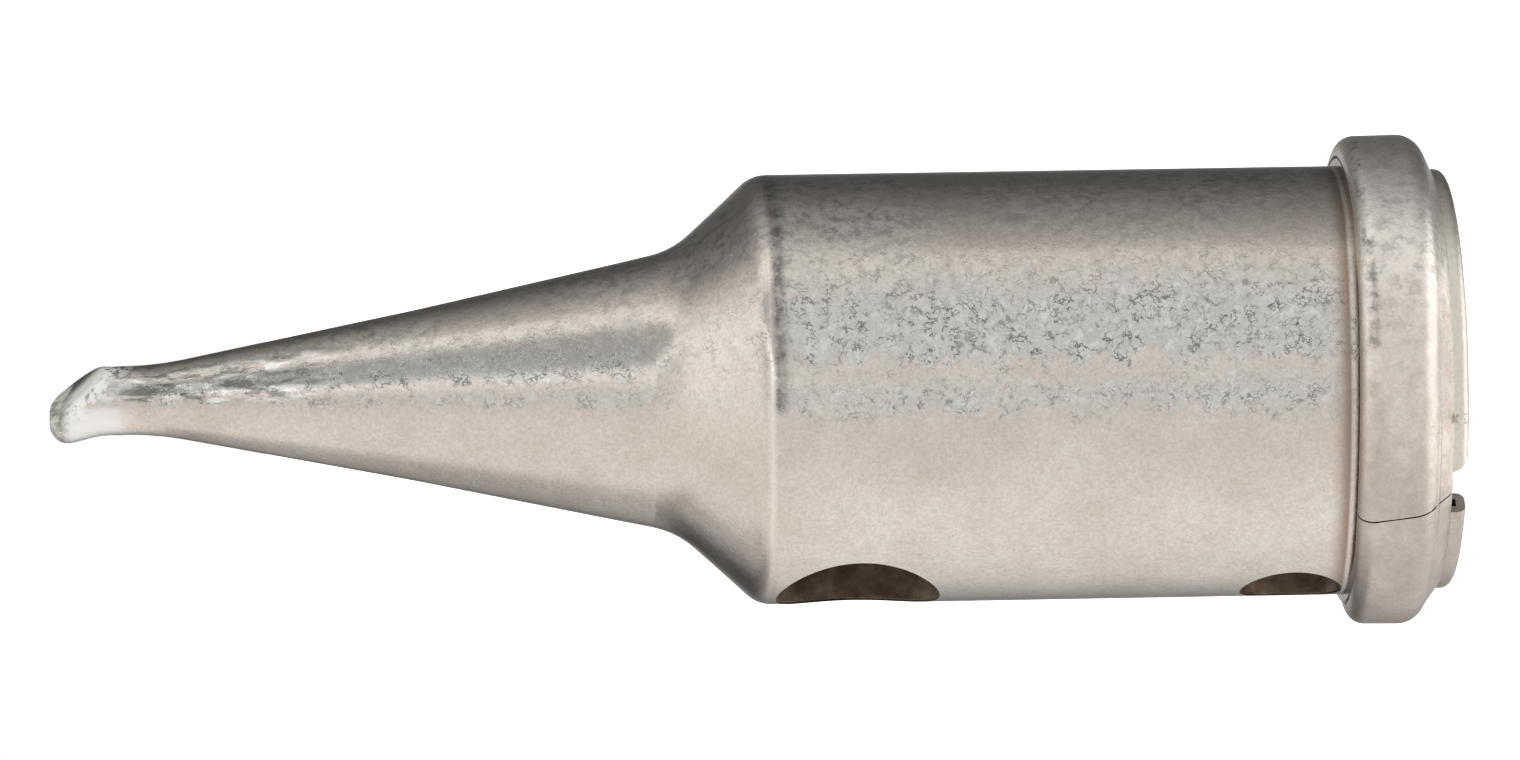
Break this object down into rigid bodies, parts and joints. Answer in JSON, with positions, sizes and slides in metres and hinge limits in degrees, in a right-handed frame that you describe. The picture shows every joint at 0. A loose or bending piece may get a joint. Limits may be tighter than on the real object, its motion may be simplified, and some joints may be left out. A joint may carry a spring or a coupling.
{
  "type": "soldering iron tip",
  "caption": "Gas-heated soldering iron tip: hoof-shaped bit on a tapered shank, hollow cylinder with side ports and a crimped collar at the rear.",
  "frame": {"origin": "centre of the rear rim, in the plane that the tip stands on", "axes": "+Z along the axis from the rear rim to the bit, -X is the side of the two ports"},
  "size_m": [0.0134, 0.0134, 0.0384],
  "materials": {
    "plated_copper": "dull heat-stained plating",
    "strip_steel": "dull, heat-stained",
    "catalyst_fibre": "matt, fibrous",
    "spring_steel": "heat-tinted"
  },
  "bodies": {
    "root": {"tip_body": "plated_copper", "collar": "strip_steel", "catalyst": "catalyst_fibre", "retaining_ring": "spring_steel"}
  },
  "joints": []
}
